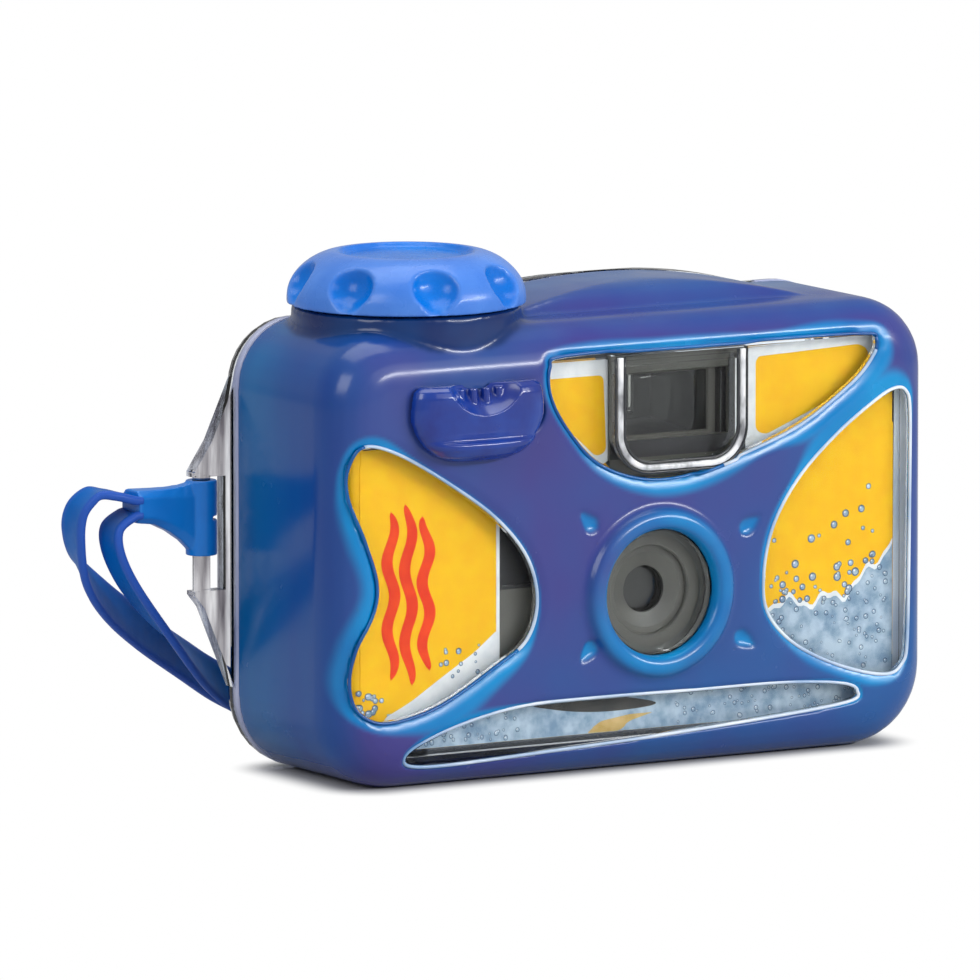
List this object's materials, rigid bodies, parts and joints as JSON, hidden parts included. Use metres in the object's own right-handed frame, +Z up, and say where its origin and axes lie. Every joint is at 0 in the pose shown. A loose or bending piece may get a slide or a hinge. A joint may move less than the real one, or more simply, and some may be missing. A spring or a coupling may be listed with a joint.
{
  "type": "waterproof disposable film camera",
  "caption": "Single-use 35 mm film camera sealed in a clear waterproof housing with a blue moulded skin, a winding knob, a shutter lever and a wrist strap.",
  "frame": {"origin": "middle of the flat base of the housing, below the vertical plane through the film cartridge axis", "axes": "+X to the right of a viewer who faces the lens, +Y to the back, +Z up"},
  "size_m": [0.1555, 0.0822, 0.0931],
  "materials": {
    "blue_skin": "translucent, glossy",
    "clear": "clear, polished",
    "knob_blue": "satin moulded",
    "lever_blue": "glossy",
    "strap_blue": "smooth soft moulding",
    "seal": "matte",
    "gasket": "matte",
    "black": "fine texture",
    "grey": "satin",
    "white": "satin",
    "red": "satin",
    "label": "printed, gloss varnish",
    "lens": "polished optical",
    "steel": "bright",
    "can": "lacquered",
    "film": "film base"
  },
  "bodies": {
    "housing": {"front_skin": "blue_skin", "front_shell": "clear", "rear_cover": "clear", "seam_gasket": "gasket", "lens_window": "clear", "knob_seal": "seal", "lever_seal": "seal", "lever_spring": "steel", "camera_frame": "black", "front_panel": "black", "rear_panel": "black", "top_panel": "black", "label_card": "label", "taking_lens": "lens", "lens_retainer": "grey", "blade_spring": "steel", "striker_spring": "steel", "ratchet_pawl": "black", "finder_tube": "black", "finder_front_lens": "lens", "finder_eyepiece": "lens", "cartridge_shell": "can", "cartridge_caps": "can", "film_strip": "film"},
    "winder": {"wind_knob": "knob_blue", "drive_shaft": "black", "knob_clip": "steel", "thumbwheel": "black", "cartridge_spool": "black"},
    "lever": {"shutter_lever": "lever_blue", "lever_shaft": "black", "lever_clip": "steel", "release_arm": "black"},
    "button": {"release_button": "red"},
    "latch": {"latch_lever": "steel"},
    "striker": {"striker_lever": "steel"},
    "blade": {"shutter_blade": "black"},
    "metering": {"sprocket": "white", "metering_cam": "white"},
    "counter": {"counter_disc": "white"},
    "supply": {"supply_spool": "black", "film_roll": "film"},
    "strap": {"strap_connector": "strap_blue", "strap_band": "strap_blue"}
  },
  "joints": [
    {"name": "knob_turn", "type": "hinge", "parent": "housing", "child": "winder", "pos_m": [-0.0352, 0, 0.087], "axis": [0, 0, 1], "continuous": true},
    {"name": "sprocket_turn", "type": "hinge", "parent": "housing", "child": "metering", "pos_m": [-0.0155, 0.00495, 0.0459], "axis": [0, 0, 1], "continuous": true},
    {"name": "counter_turn", "type": "hinge", "parent": "housing", "child": "counter", "pos_m": [-0.019, -0.003, 0.0618], "axis": [0, 0, 1], "continuous": true},
    {"name": "supply_turn", "type": "hinge", "parent": "housing", "child": "supply", "pos_m": [0.04, 0.00315, 0.0323], "axis": [0, 0, 1], "continuous": true},
    {"name": "lever_press", "type": "hinge", "parent": "housing", "child": "lever", "pos_m": [-0.024, -0.02, 0.0663], "axis": [0, -1, 0], "range_deg": [0, 9], "stiffness_Nm_per_rad": 0.05, "springref_deg": -3.44},
    {"name": "button_press", "type": "slide", "parent": "housing", "child": "button", "axis": [0, 0, -1], "range_m": [0, 0.0024]},
    {"name": "latch_rock", "type": "hinge", "parent": "housing", "child": "latch", "pos_m": [-0.028, -0.0139, 0.0566], "axis": [0, -1, 0], "range_deg": [0, 14]},
    {"name": "striker_swing", "type": "hinge", "parent": "housing", "child": "striker", "pos_m": [-0.0076, -0.0125, 0.0483], "axis": [0, 1, 0], "range_deg": [0, 28], "stiffness_Nm_per_rad": 0.01, "springref_deg": -3.44},
    {"name": "blade_swing", "type": "hinge", "parent": "housing", "child": "blade", "pos_m": [-0.0076, -0.0115, 0.0383], "axis": [0, 1, 0], "range_deg": [-28, 0]},
    {"name": "strap_swivel", "type": "hinge", "parent": "housing", "child": "strap", "pos_m": [-0.0682, 0.0155, 0.046], "axis": [0, 0, 1], "range_deg": [0, 90]}
  ],
  "couplings": [
    {"joint": "sprocket_turn", "follows": "knob_turn", "ratio": 1.22},
    {"joint": "counter_turn", "follows": "knob_turn", "ratio": -0.034},
    {"joint": "supply_turn", "follows": "knob_turn", "ratio": 0.84},
    {"joint": "button_press", "follows": "lever_press", "m_per_rad": 0.0145},
    {"joint": "latch_rock", "follows": "lever_press", "ratio": 1.5},
    {"joint": "blade_swing", "follows": "striker_swing", "ratio": -1}
  ]
}
